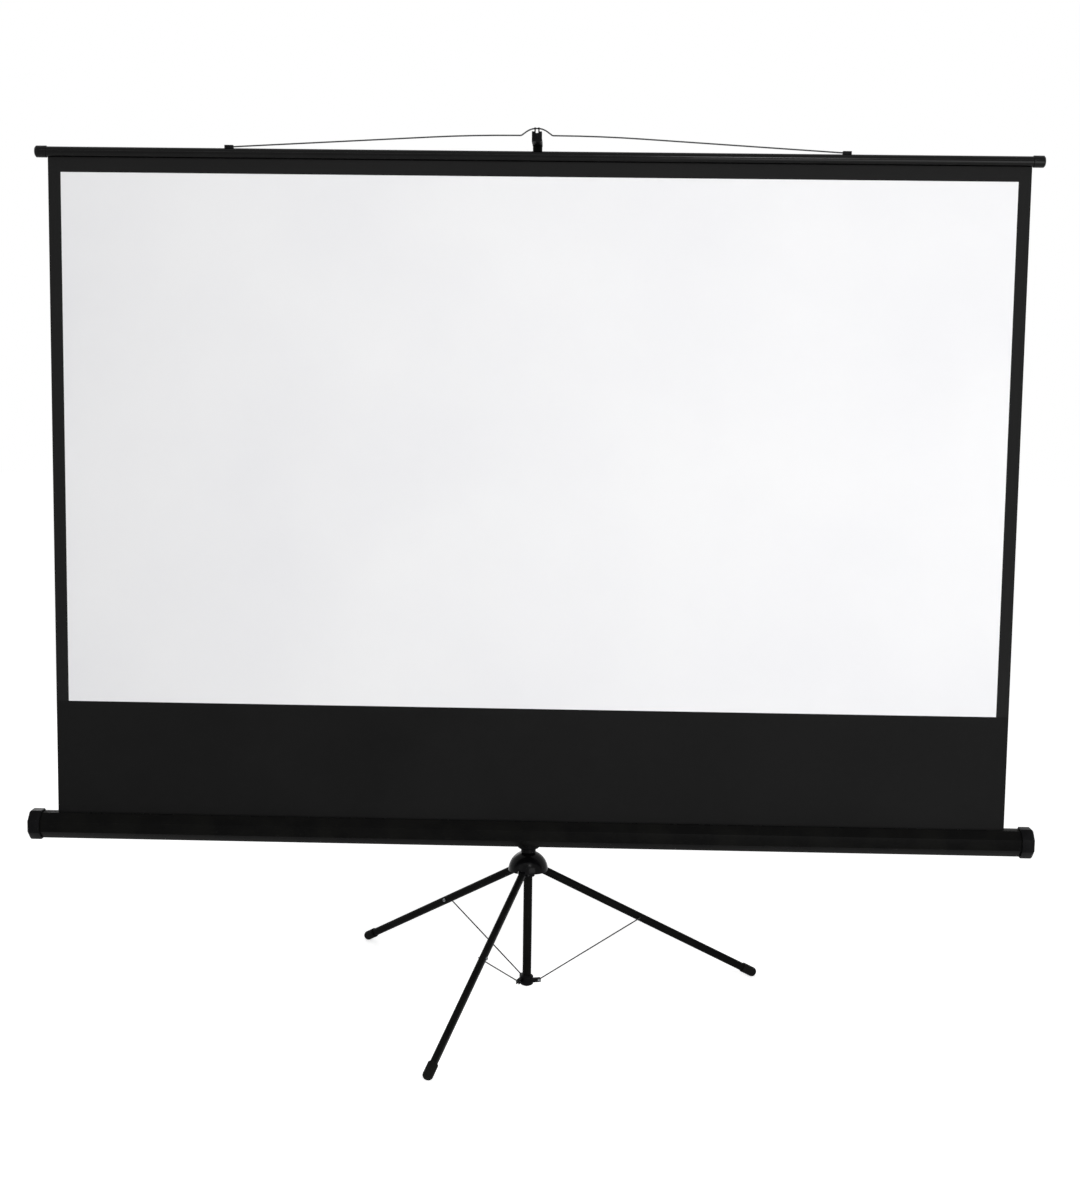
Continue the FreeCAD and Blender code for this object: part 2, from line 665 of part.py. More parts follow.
def bail_wire():
    """Sprung wire from clip to clip, with a hump at its middle that sits in the hook."""
    low = value(BAIL_HEIGHT)
    high = low + value("sizes.bail_rise")
    peak = high + value("sizes.hump_height")
    half_span = value("sizes.bail_span") / 2
    tail = value("sizes.clip_length") / 2
    crown = value("sizes.bail_crown") / 2
    hump = value("sizes.hump_width") / 2
    flat = value("sizes.hump_top") / 2
    y = value(CLOTH_Y)
    left = [
        (-half_span - tail, low), (-half_span + tail, low), (-crown, high), (-hump, high), (-flat, peak),
    ]
    right = [(-x, z) for x, z in reversed(left)]
    points = [FreeCAD.Vector(x, y, z) for x, z in left + right]
    clip_bend = 150
    crown_bend = 0.9 * (crown - hump) / math.tan(math.atan2(high - low, half_span - tail - crown) / 2)
    kink = 8
    hump_bend = 0.9 * flat / math.tan(math.atan2(peak - high, hump - flat) / 2)
    bends = [clip_bend, crown_bend, kink, hump_bend]
    path = rounded_wire(points, bends + bends[::-1])
    radius = value("sizes.bail_wire_diameter") / 2
    section = Part.Wire(Part.makeCircle(radius, points[0], FreeCAD.Vector(1, 0, 0)))
    piece = doc.addObject("Part::Feature", "bail_wire")
    piece.Shape = path.makePipeShell([section], True, False)
    print(f"bail wire: {path.Length:.1f} mm, volume {piece.Shape.Volume:.1f}, "
          f"section times length {math.pi * radius ** 2 * path.Length:.1f}")
    return piece


def screen_fabric():
    """The cloth between the roller and the slat's hem, hanging flat."""
    piece = doc.addObject("Part::Box", "screen_fabric")
    top = f"({SLAT_HEIGHT} - {SLAT_INNER} - sizes.soft_clearance)"
    piece.setExpression("Length", f"2 * {CLOTH_HALF}")
    piece.setExpression("Width", "sizes.cloth_thickness")
    piece.setExpression("Height", f"{top} - {CASE_HEIGHT}")
    return place(piece, f"-{CLOTH_HALF}", f"{CLOTH_Y} - sizes.cloth_thickness / 2", CASE_HEIGHT)


def leg_tube(leg):
    """Oval leg tube, drilled across for the end of its brace."""
    body = new_body(f"{leg}_leg_tube")
    section = new_sketch(body, "YZ_Plane", f"{leg}_leg_section", "sizes.knuckle_length")
    oblong(section, "sizes.leg_width", "sizes.leg_depth")
    oblong(section, "sizes.leg_width - 2 * sizes.leg_wall", "sizes.leg_depth - 2 * sizes.leg_wall")
    pad(body, section, f"{LEG_LENGTH} - sizes.foot_radius / 2 - sizes.knuckle_length")
    solid(
        body, "SubtractiveCylinder", (BRACE_LENGTH, "sizes.leg_width", 0), (0, 0, 90),
        Radius="sizes.brace_diameter / 2 + sizes.running_clearance", Height="2 * sizes.leg_width",
    )
    return at_pivot(body, leg)


def at_pivot(body, leg):
    """Set a leg's piece, modelled along X from its pivot, on the leg's bearing and slope."""
    x, y = spot(leg, "sizes.pivot_radius")
    return place(body, x, y, "sizes.pivot_height", bearing(leg), LEG_ANGLE, 0)


def leg_knuckle(leg):
    """Plug in the leg's upper end, with a round nose that turns on the pivot pin."""
    nose = "(sizes.leg_depth / 2)"
    body = new_body(f"{leg}_leg_knuckle")
    solid(
        body, "AdditiveCylinder", (0, "sizes.leg_width / 2", 0), (0, 0, 90),
        Radius=nose, Height="sizes.leg_width",
    )
    section = new_sketch(body, "YZ_Plane", f"{leg}_knuckle_section")
    oblong(section, "sizes.leg_width", "sizes.leg_depth")
    pad(body, section, "sizes.knuckle_length - sizes.seat_clearance")
    fit = "2 * (sizes.leg_wall + sizes.seat_clearance)"
    spigot = new_sketch(body, "YZ_Plane", f"{leg}_knuckle_spigot", "sizes.knuckle_length / 2")
    oblong(spigot, f"sizes.leg_width - {fit}", f"sizes.leg_depth - {fit}")
    pad(body, spigot, "sizes.knuckle_length / 2 + sizes.knuckle_spigot")
    solid(
        body, "SubtractiveCylinder", (0, "sizes.leg_width", 0), (0, 0, 90),
        Radius="sizes.pivot_pin_diameter / 2 + sizes.running_clearance", Height="2 * sizes.leg_width",
    )
    return at_pivot(body, leg)


def foot(leg):
    """Rubber foot over the leg's end, rounded, with a small flat where it stands."""
    body = new_body(f"{leg}_foot")
    block = solid(
        body, "AdditiveCylinder", (f"{LEG_LENGTH} - sizes.foot_length", 0, 0), (0, 90, 0),
        Radius="sizes.foot_radius", Height="sizes.foot_length + sizes.foot_radius",
    )
    doc.recompute()
    edges = block.Shape.Edges
    end = max(range(len(edges)), key=lambda index: edges[index].CenterOfMass.x)
    rounding = body.newObject("PartDesign::Fillet", f"{leg}_foot_rounding")
    rounding.Base = (block, [f"Edge{end + 1}"])
    rounding.setExpression("Radius", "sizes.foot_radius - sizes.foot_tip")
    socket = new_sketch(body, "YZ_Plane", f"{leg}_foot_socket", f"{LEG_LENGTH} - sizes.foot_length")
    oblong(socket, "sizes.leg_width + 2 * sizes.seat_clearance", "sizes.leg_depth + 2 * sizes.seat_clearance")
    depth = "(sizes.foot_length - sizes.foot_radius / 2 + sizes.seat_clearance)"
    pocket(body, socket, depth, upward=True)
    under = f"({FOOT_HEIGHT} + sizes.foot_radius)"
    solid(
        body, "SubtractiveCylinder",
        (f"{LEG_LENGTH} + {under} * sin({LEG_ANGLE})", 0, f"-{under} * cos({LEG_ANGLE})"),
        (0, f"-{LEG_ANGLE}", 0),
        Radius="2 * sizes.foot_radius", Height="sizes.foot_radius",
    )
    return at_pivot(body, leg)


def at_brace(body, leg):
    """Set a brace's piece, modelled along X from its pin in the leg, on the way to the spider."""
    x, y = spot(leg, f"sizes.pivot_radius + {BRACE_LENGTH} * cos({LEG_ANGLE})")
    z = f"sizes.pivot_height - {BRACE_LENGTH} * sin({LEG_ANGLE})"
    return place(body, x, y, z, f"{bearing(leg)} + 180", LEG_ANGLE, 0)


def brace_rod(leg):
    """Wire brace: bent through the leg at one end, flattened to an eye at the other."""
    body = new_body(f"{leg}_brace_rod")
    tail = "(sizes.leg_width / 2 + sizes.brace_tail)"
    bend = "sizes.brace_bend"
    spine = new_sketch(body, "XY_Plane", f"{leg}_brace_line")
    low = FreeCAD.Vector(0, -value(tail), 0)
    knee = FreeCAD.Vector(0, value(f"{BRACE_OFFSET} - {bend}"), 0)
    centre = FreeCAD.Vector(value(bend), knee.y, 0)
    start = FreeCAD.Vector(value(bend), value(BRACE_OFFSET), 0)
    end = FreeCAD.Vector(value(BRACE_LENGTH), start.y, 0)
    spine.addGeometry(Part.LineSegment(low, knee))
    arc = Part.Circle(centre, FreeCAD.Vector(0, 0, 1), value(bend))
    spine.addGeometry(Part.ArcOfCircle(arc, math.pi / 2, math.pi))
    spine.addGeometry(Part.LineSegment(start, end))
    spine.addConstraint(Sketcher.Constraint("PointOnObject", 0, 1, -2))
    spine.addConstraint(Sketcher.Constraint("Vertical", 0))
    spine.addConstraint(Sketcher.Constraint("Horizontal", 2))
    spine.addConstraint(Sketcher.Constraint("Tangent", 0, 2, 1, 2))
    spine.addConstraint(Sketcher.Constraint("Tangent", 1, 1, 2, 1))
    dimension(spine, "DistanceY", 0, 1, -1, 1, tail)
    dimension(spine, "Radius", 1, bend)
    dimension(spine, "DistanceY", -1, 1, 2, 2, BRACE_OFFSET)
    dimension(spine, "DistanceX", -1, 1, 2, 2, f"{BRACE_LENGTH} - sizes.brace_eye_diameter / 4 - 1")
    section = new_sketch(body, "XZ_Plane", f"{leg}_brace_section", tail)
    circle(section, "sizes.brace_diameter")
    pipe = body.newObject("PartDesign::AdditivePipe", f"{leg}_brace_wire")
    pipe.Profile = section
    pipe.Spine = (spine, [])
    across = f"({BRACE_OFFSET} + sizes.brace_eye_thickness / 2)"
    solid(
        body, "AdditiveCylinder", (BRACE_LENGTH, across, 0), (0, 0, 90),
        Radius="sizes.brace_eye_diameter / 2", Height="sizes.brace_eye_thickness",
    )
    solid(
        body, "SubtractiveCylinder", (BRACE_LENGTH, f"{across} + 1", 0), (0, 0, 90),
        Radius="sizes.spider_rivet_diameter / 2 + sizes.running_clearance",
        Height="sizes.brace_eye_thickness + 2",
    )
    return at_brace(body, leg)


def brace_cap(leg):
    """Push-on cap that keeps the brace's bent end in the leg."""
    body = new_body(f"{leg}_brace_cap")
    face = f"(sizes.leg_width / 2 + sizes.brace_play)"
    solid(
        body, "AdditiveCylinder", (0, f"-{face}", 0), (0, 0, 90),
        Radius="sizes.brace_cap_diameter / 2", Height="sizes.brace_cap_thickness",
    )
    solid(
        body, "SubtractiveCylinder", (0, f"-{face} + 1", 0), (0, 0, 90),
        Radius="sizes.brace_diameter / 2 + sizes.seat_clearance", Height="sizes.brace_cap_thickness + 2",
    )
    return at_brace(body, leg)


PRONG_GAP = "(sizes.brace_eye_thickness / 2 + sizes.leg_play)"


def brace_spider():
    """Boss on the foot of the post with three forked lugs, one beside each leg."""
    bore = "(sizes.post_diameter / 2 + sizes.seat_clearance)"
    boss = "(sizes.spider_boss_diameter / 2)"
    body = turned("brace_spider", [
        (bore, "-sizes.spider_boss_bottom"), (f"{boss} - 2", "-sizes.spider_boss_bottom"),
        (boss, "2 - sizes.spider_boss_bottom"), (boss, "sizes.spider_boss_top - 3"),
        (f"{boss} - 3", "sizes.spider_boss_top"), (bore, "sizes.spider_boss_top"),
    ])
    tall = "(sizes.brace_eye_diameter + 2)"
    for leg in LEGS:
        for edge in (f"-{PRONG_GAP}", f"({PRONG_GAP} + sizes.spider_prong_thickness)"):
            x, y = spot(leg, f"{bore} - 4", f"{BRACE_OFFSET} + {edge}")
            solid(
                body, "AdditiveBox", (x, y, f"-{tall} / 2"), (bearing(leg), 0, 0),
                Length=f"sizes.pivot_radius + sizes.spider_prong_reach - {bore} + 4",
                Width="sizes.spider_prong_thickness", Height=tall,
            )
    solid(body, "SubtractiveCylinder", (0, 0, "-2 * sizes.spider_boss_top"), Radius=bore, Height="100")
    half = f"({PRONG_GAP} + sizes.spider_prong_thickness)"
    for leg in LEGS:
        x, y = spot(leg, "sizes.pivot_radius", f"{BRACE_OFFSET} - {half} - 0.5")
        solid(
            body, "SubtractiveCylinder", (x, y, 0), (bearing(leg), 0, 90),
            Radius="sizes.spider_rivet_diameter / 2 + sizes.seat_clearance", Height=f"2 * {half} + 1",
        )
    return place(body, z="sizes.spider_height")


def spider_rivets():
    rivets = []
    half = f"({PRONG_GAP} + sizes.spider_prong_thickness)"
    head = "1.2"
    for leg in LEGS:
        shank = rod(f"{leg}_rivet_shank", "sizes.spider_rivet_diameter", f"2 * {half} + {head}")
        x, y = spot(leg, "sizes.pivot_radius", f"{BRACE_OFFSET} - {half}")
        place(shank, x, y, "sizes.spider_height", bearing(leg), 0, 90)
        cap = rod(f"{leg}_rivet_cap", "2 * sizes.spider_rivet_diameter", head)
        x, y = spot(leg, "sizes.pivot_radius", f"{BRACE_OFFSET} + {half} + sizes.seat_clearance")
        place(cap, x, y, "sizes.spider_height", bearing(leg), 0, 90)
        rivet = doc.addObject("Part::Fuse", f"{leg}_spider_rivet")
        rivet.Base, rivet.Tool = shank, cap
        rivets.append(rivet)
    return group("spider_rivets", rivets)


def post_tube():
    bottom = "(sizes.spider_height - sizes.spider_boss_bottom)"
    body = tube(
        "post_tube", "sizes.post_diameter", "sizes.post_diameter - 2 * sizes.post_wall",
        f"sizes.post_top - {bottom}",
    )
    return place(body, z=bottom)


def post_bush():
    """Ring on the head of the post that slides in the mast."""
    body = tube(
        "post_bush", f"2 * ({MAST_INNER} - sizes.sliding_clearance)",
        "sizes.post_diameter + 2 * sizes.seat_clearance", "sizes.post_bush_length",
    )
    return place(body, z="sizes.post_top - sizes.post_bush_length")


def post_plug():
    """Plug that closes the foot of the post."""
    inside = "(sizes.post_diameter / 2 - sizes.post_wall - sizes.seat_clearance)"
    body = turned("post_plug", [
        (0, "-3"), (f"{inside} - 2", "-3"), (f"{inside} + 1", "-1"),
        (f"{inside} + 1", "-sizes.seat_clearance"),
        (inside, "-sizes.seat_clearance"), (inside, 16), (f"{inside} - 2", 18), (0, 18),
    ])
    return place(body, z="sizes.spider_height - sizes.spider_boss_bottom")


def slider():
    """Sleeve that slides on the mast, with a flat pad in front for the case and a clamp behind."""
    bore = "(sizes.mast_diameter / 2 + sizes.sliding_clearance)"
    axis = "sizes.slider_drop"
    body = turned("slider", [
        (bore, 0), ("sizes.slider_flange_radius - 2", 0), ("sizes.slider_flange_radius", 2),
        ("sizes.slider_flange_radius", "sizes.slider_flange_height"),
        ("sizes.slider_radius", "sizes.slider_flange_height + 4"),
        ("sizes.slider_radius", f"{SLIDER_HEIGHT} - 2"),
        ("sizes.slider_radius - 2", SLIDER_HEIGHT), (bore, SLIDER_HEIGHT),
    ])
    solid(
        body, "AdditiveCylinder", (0, 0, axis), (0, 0, 90),
        Radius="sizes.slider_pad_radius", Height=f"-{SLIDER_PAD}",
    )
    solid(body, "SubtractiveCylinder", (0, 0, -1), Radius=bore, Height=f"{SLIDER_HEIGHT} + 2")
    solid(
        body, "SubtractiveCylinder", (0, 0, axis), (0, 0, 90),
        Radius="sizes.pivot_bolt_diameter / 2 + sizes.seat_clearance", Height="sizes.case_setback",
    )
    clamp_boss(body, f"{axis} + sizes.slider_knob_rise", f"{bore} + 2")
    return place(body, z=SLIDER_BOTTOM)


def pivot_bolt():
    """Shoulder bolt that carries the case on the slider, with its head inside the case."""
    wall = f"({CASE_BACK} - sizes.case_wall)"
    shank = f"(-(sizes.mast_diameter / 2 + 1.5) - {wall})"
    radius = "sizes.pivot_bolt_diameter / 2"
    head = "sizes.pivot_head_diameter / 2"
    body = turned("pivot_bolt", [
        (0, "-sizes.pivot_head_thickness"), (f"{head} - 1", "-sizes.pivot_head_thickness"),
        (head, "1 - sizes.pivot_head_thickness"), (head, "-sizes.seat_clearance"),
        (radius, "-sizes.seat_clearance"), (radius, shank), (0, shank),
    ])
    return place(body, 0, wall, CASE_HEIGHT, 0, 0, -90)


def pivot_washer():
    body = tube(
        "pivot_washer", "sizes.pivot_washer_diameter",
        "sizes.pivot_bolt_diameter + 2 * sizes.seat_clearance", "sizes.pivot_washer_thickness",
    )
    return place(body, 0, f"{CASE_BACK} + sizes.bracket_thickness", CASE_HEIGHT, 0, 0, -90)


def rivet_spots():
    across = "sizes.bracket_rivet_spacing / 2"
    return [f"-{across}", f"-{across} * 0.6", f"{across} * 0.6", across]


def case_bracket():
    """Steel strap on the back of the case that spreads the pivot's load."""
    body = new_body("case_bracket")
    strap = new_sketch(body, "XZ_Plane", "bracket_face")
    half = "sizes.bracket_width / 2"
    tall = "sizes.bracket_height / 2"
    corner = "4"
    outline(strap, [
        (f"-{half}", f"-{tall} + {corner}"), (f"-{half} + {corner}", f"-{tall}"),
        (f"{half} - {corner}", f"-{tall}"), (half, f"-{tall} + {corner}"),
        (half, f"{tall} - {corner}"), (f"{half} - {corner}", tall),
        (f"-{half} + {corner}", tall), (f"-{half}", f"{tall} - {corner}"),
    ])
    pad(body, strap, "sizes.bracket_thickness")
    solid(
        body, "SubtractiveCylinder", (0, 1, 0), (0, 0, 90),
        Radius="sizes.pivot_bolt_diameter / 2 + sizes.seat_clearance", Height="sizes.bracket_thickness + 2",
    )
    for x in rivet_spots():
        solid(
            body, "SubtractiveCylinder", (x, 1, 0), (0, 0, 90),
            Radius="sizes.bracket_rivet_diameter / 2 + sizes.seat_clearance",
            Height="sizes.bracket_thickness + 2",
        )
    return place(body, 0, f"{CASE_BACK} + sizes.bracket_thickness", CASE_HEIGHT)


def case_rivets():
    rivets = []
    head = "1.2"
    for index, x in enumerate(rivet_spots()):
        grip = "(sizes.bracket_thickness + sizes.case_wall)"
        shank = rod(f"bracket_shank_{index}", "sizes.bracket_rivet_diameter", f"{grip} + {head}")
        place(shank, x, f"{CASE_BACK} - sizes.case_wall", CASE_HEIGHT, 0, 0, -90)
        cap = rod(f"bracket_cap_{index}", "sizes.bracket_rivet_head", head)
        outside = f"{CASE_BACK} + sizes.bracket_thickness + sizes.seat_clearance"
        place(cap, x, outside, CASE_HEIGHT, 0, 0, -90)
        rivet = doc.addObject("Part::Fuse", f"case_rivet_{index}")
        rivet.Base, rivet.Tool = shank, cap
        rivets.append(rivet)
    return group("case_rivets", rivets)


def case_shell():
    """Roll-formed eight-sided case, open along its top for the cloth."""
    body = new_body("case_shell")
    section = new_sketch(body, "YZ_Plane", "case_section", f"-{CASE_LENGTH} / 2")
    octagon(section, "sizes.case_flats")
    octagon(section, "sizes.case_flats - 2 * sizes.case_wall")
    pad(body, section, CASE_LENGTH)
    mouth = f"({CLOTH_Y} + sizes.case_setback)"
    solid(
        body, "SubtractiveBox",
        (
            f"-{CASE_LENGTH} / 2 - 1", f"{mouth} - sizes.case_mouth / 2",
            "sizes.case_flats / 2 - sizes.case_wall - 1",
        ),
        Length=f"{CASE_LENGTH} + 2", Width="sizes.case_mouth", Height="sizes.case_wall + 2",
    )
    solid(
        body, "SubtractiveCylinder", (0, "sizes.case_flats / 2 + 1", 0), (0, 0, 90),
        Radius="sizes.pivot_bolt_diameter / 2 + sizes.seat_clearance", Height="sizes.case_wall + 2",
    )
    for x in rivet_spots():
        solid(
            body, "SubtractiveCylinder", (x, "sizes.case_flats / 2 + 1", 0), (0, 0, 90),
            Radius="sizes.bracket_rivet_diameter / 2 + sizes.seat_clearance", Height="sizes.case_wall + 2",
        )
    return place(body, 0, "-sizes.case_setback", CASE_HEIGHT)


def case_cap(side):
    """Moulded end cap over the case, with a boss inside that holds the roller's gudgeon."""
    sign = {"left": "-", "right": ""}[side]
    yaw = {"left": 180, "right": 0}[side]
    body = new_body(f"case_cap_{side}")
    skirt = "(sizes.case_cap_length - sizes.case_cap_end)"
    outer = new_sketch(body, "YZ_Plane", f"{side}_cap_outline", f"-{skirt}")
    octagon(outer, "sizes.case_cap_flats")
    block = pad(body, outer, "sizes.case_cap_length")
    doc.recompute()
    bevel = body.newObject("PartDesign::Chamfer", f"{side}_cap_bevel")
    faces = block.Shape.Faces
    ends = max(range(len(faces)), key=lambda index: faces[index].CenterOfMass.x)
    bevel.Base = (block, [f"Face{ends + 1}"])
    bevel.setExpression("Size", "sizes.case_cap_bevel")
    inside = new_sketch(body, "YZ_Plane", f"{side}_cap_socket", f"-{skirt}")
    octagon(inside, "sizes.case_flats + 2 * sizes.seat_clearance")
    pocket(body, inside, f"{skirt} + sizes.seat_clearance", upward=True)
    boss_y = f"{sign}sizes.roller_shift"
    solid(
        body, "AdditiveCylinder", ("-sizes.gudgeon_boss_length", boss_y, 0), (0, 90, 0),
        Radius="sizes.gudgeon_boss_diameter / 2",
        Height="sizes.gudgeon_boss_length + sizes.case_cap_end / 2",
    )
    solid(
        body, "SubtractiveCylinder", ("-sizes.gudgeon_boss_length - 1", boss_y, 0), (0, 90, 0),
        Radius="sizes.gudgeon_diameter / 2 + sizes.seat_clearance", Height="sizes.gudgeon_boss_length + 1",
    )
    return place(body, f"{sign}{CASE_LENGTH} / 2", "-sizes.case_setback", CASE_HEIGHT, yaw)


ROLLER_HALF = f"({CLOTH_HALF} + sizes.roller_margin)"


def along_roller(piece, x):
    """Lay a piece that stands on its XY plane along the roller's axis, from x to the right."""
    return place(piece, x, ROLLER_Y, CASE_HEIGHT, 0, 90, 0)


def roller_tube():
    inside = "sizes.roller_diameter - 2 * sizes.roller_wall"
    piece = tube("roller_tube", "sizes.roller_diameter", inside, f"2 * {ROLLER_HALF}")
    return along_roller(piece, f"-{ROLLER_HALF}")


def fabric_winding():
    """The turns of cloth that stay on the roller."""
    inside = "sizes.roller_diameter + 2 * sizes.seat_clearance"
    body = tube("fabric_winding", f"2 * {WINDING_RADIUS}", inside, f"2 * {CLOTH_HALF}")
    return along_roller(body, f"-{CLOTH_HALF}")


def roller_plug(name, sign):
    """Plug in the roller's end that turns on the gudgeon."""
    spigot = "(sizes.roller_diameter / 2 - sizes.roller_wall - sizes.seat_clearance)"
    bore = "(sizes.gudgeon_diameter / 2 + sizes.running_clearance)"
    body = turned(name, [
        (bore, "-sizes.plug_length"), (spigot, "-sizes.plug_length"), (spigot, "-sizes.seat_clearance"),
        ("sizes.roller_diameter / 2", "-sizes.seat_clearance"),
        ("sizes.roller_diameter / 2", "sizes.plug_flange"), (bore, "sizes.plug_flange"),
    ])
    return place(body, f"{sign}{ROLLER_HALF}", ROLLER_Y, CASE_HEIGHT, 0, f"{sign}90", 0)


GUDGEON_END = f"({CASE_LENGTH} / 2 - sizes.seat_clearance)"


def idler_pin():
    """Short gudgeon in the left cap."""
    length = f"({GUDGEON_END} - {ROLLER_HALF} + sizes.plug_length)"
    return along_roller(rod("idler_pin", "sizes.gudgeon_diameter", length), f"-{GUDGEON_END}")


SPRING_RIGHT = f"({ROLLER_HALF} - sizes.plug_length - sizes.soft_clearance)"
SPRING_LEFT = f"({SPRING_RIGHT} - sizes.spring_length)"


def spring_shaft():
    """Shaft from the right cap that the spring winds against."""
    start = f"({SPRING_LEFT} - sizes.anchor_flange)"
    return along_roller(rod("spring_shaft", "sizes.gudgeon_diameter", f"{GUDGEON_END} - {start}"), start)


def spring_anchor():
    """Bush on the shaft's free end that holds the spring."""
    bore = "(sizes.gudgeon_diameter / 2 + sizes.seat_clearance)"
    spigot = "(sizes.spring_diameter / 2 - sizes.spring_wire - sizes.seat_clearance)"
    body = turned("spring_anchor", [
        (bore, "-sizes.anchor_flange"), ("sizes.spring_diameter / 2", "-sizes.anchor_flange"),
        ("sizes.spring_diameter / 2", "-sizes.soft_clearance"), (spigot, "-sizes.soft_clearance"),
        (spigot, "sizes.anchor_length"), (bore, "sizes.anchor_length"),
    ])
    return along_roller(body, SPRING_LEFT)


def roller_spring():
    """Close-wound torsion spring, as the sleeve that its coils fill."""
    inside = "sizes.spring_diameter - 2 * sizes.spring_wire"
    piece = tube("roller_spring", "sizes.spring_diameter", inside, "sizes.spring_length")
    return along_roller(piece, SPRING_LEFT)


nodes = [
    hub_core(), hub_dome(), leg_pivot_pins(), mast_tube(), mast_collar(), screen_fabric(),
    extension_tube(), extension_bush(), hook_head(), slat_tube(), slat_cap("left"), slat_cap("right"),
    hem_rod(), bail_clips(), bail_wire(),
    post_tube(), post_bush(), post_plug(), brace_spider(), spider_rivets(),
    slider(), pivot_bolt(), pivot_washer(), case_bracket(), case_rivets(),
    case_shell(), case_cap("left"), case_cap("right"),
    idler_pin(), spring_shaft(), spring_anchor(), roller_spring(),
    roller_tube(), roller_plug("roller_plug_left", "-"), roller_plug("roller_plug_right", ""),
    fabric_winding(),
]
nodes += clamp_knob("mast", "(sizes.mast_top + sizes.collar_head / 2)", "sizes.extension_diameter / 2")
nodes += clamp_knob("slider", f"({CASE_HEIGHT} + sizes.slider_knob_rise)", "sizes.mast_diameter / 2")
for leg_name in LEGS:
    nodes += [leg_tube(leg_name), leg_knuckle(leg_name), foot(leg_name)]
    nodes += [brace_rod(leg_name), brace_cap(leg_name)]
doc.recompute()

faults = [item.Name for item in doc.Objects if "Invalid" in item.State or "Error" in item.State]
faults += [item.Label for item in nodes if item.Shape.isNull() or not item.Shape.isValid()]
if faults:
    raise RuntimeError(f"These objects failed: {faults}")

os.makedirs("parts", exist_ok=True)
for item in nodes:
    item.Shape.exportStep(f"parts/{item.Label}.step")
    box = item.Shape.BoundBox
    print(f"{item.Label}: {len(item.Shape.Solids)} solids, {item.Shape.Volume:.0f} mm3, "
          f"z {box.ZMin:.1f} to {box.ZMax:.1f}")
print(f"{len(nodes)} nodes, leg angle {value(LEG_ANGLE):.3f} degrees, brace {value(BRACE_LENGTH):.3f} mm")
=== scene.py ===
# %% [markdown]
# # A tripod projection screen
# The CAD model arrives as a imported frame: every tube, joint and moulding is already in its real
# place, in metres, with X along the case, Y away from the viewer and Z up. This lesson dresses it.
# Mouldings get the small rounded edges that catch the light, every surface gets its finish, and the
# cloth, which CAD holds as a plain slab, is made as the thin printed sheet it is.

# %% Load the frame
import json
import math

import bpy
from mathutils import Matrix, Vector


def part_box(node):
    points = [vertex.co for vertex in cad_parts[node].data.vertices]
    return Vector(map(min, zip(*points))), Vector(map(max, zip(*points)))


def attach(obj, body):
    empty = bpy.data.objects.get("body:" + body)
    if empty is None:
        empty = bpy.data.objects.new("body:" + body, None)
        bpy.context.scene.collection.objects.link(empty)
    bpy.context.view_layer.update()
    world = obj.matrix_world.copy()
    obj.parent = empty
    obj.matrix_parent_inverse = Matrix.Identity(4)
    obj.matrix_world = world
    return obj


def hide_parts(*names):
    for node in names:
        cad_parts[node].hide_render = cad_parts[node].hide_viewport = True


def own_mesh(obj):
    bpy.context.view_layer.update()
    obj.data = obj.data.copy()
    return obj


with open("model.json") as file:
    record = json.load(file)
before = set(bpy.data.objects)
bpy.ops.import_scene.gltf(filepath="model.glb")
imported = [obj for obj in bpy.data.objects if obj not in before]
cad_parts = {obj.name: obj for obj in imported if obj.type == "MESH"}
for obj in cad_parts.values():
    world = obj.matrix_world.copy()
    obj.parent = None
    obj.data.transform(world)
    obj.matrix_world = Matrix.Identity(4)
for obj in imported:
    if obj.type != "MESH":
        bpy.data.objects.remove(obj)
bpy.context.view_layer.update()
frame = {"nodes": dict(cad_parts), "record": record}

NODES = frame["nodes"]
MM = 0.001

# %% [markdown]
# ## Tools for finishes
# Colours are easy to read as the hex values of a paint chart, but a shader works in linear light, so
# one function turns them over. A second adds a node, sets it and wires it, so that each finish below
# reads as a short list of what feeds what.

# %% Colour and node helpers


def linear(hex_colour):
    """A linear RGBA colour from an sRGB hex value."""
    channels = [int(hex_colour[i:i + 2], 16) / 255 for i in (1, 3, 5)]
    curve = [c / 12.92 if c <= 0.04045 else ((c + 0.055) / 1.055) ** 2.4 for c in channels]
    return (*curve, 1.0)


def add_node(tree, kind, inputs, **settings):
    """Add a node, apply its settings, then set or link its inputs by name or number."""
    node = tree.nodes.new(kind)
    for name, setting in settings.items():
        setattr(node, name, setting)
    for key, source in inputs.items():
        if isinstance(source, bpy.types.NodeSocket):
            tree.links.new(source, node.inputs[key])
        else:
            node.inputs[key].default_value = source
    return node


def new_finish(name, **sockets):
    """A material with its shader's plain sockets set, and the tree that its patterns go into."""
    material = bpy.data.materials.new(name)
    material.use_nodes = True
    shader = material.node_tree.nodes["Principled BSDF"]
    for key, setting in sockets.items():
        shader.inputs[key.replace("_", " ").title().replace("Ior", "IOR")].default_value = setting
    return material, material.node_tree, shader


def per_metre(size_mm):
    """The noise scale whose patches are about this many millimetres wide."""
    return 1000 / size_mm


# %% [markdown]
# ## One pattern for all the surfaces
# A real finish is never one flat colour. Tone and gloss drift in soft patches, from how the paint or
# the melt flowed, and over them lies a fine relief, which is orange peel, moulded grain or emboss. One
# function lays both on a shader. Each finish gives it the sizes of its own patches and grain.

# %% Patches and grain
PATCH_LEAST, PATCH_MOST = 0.35, 0.65


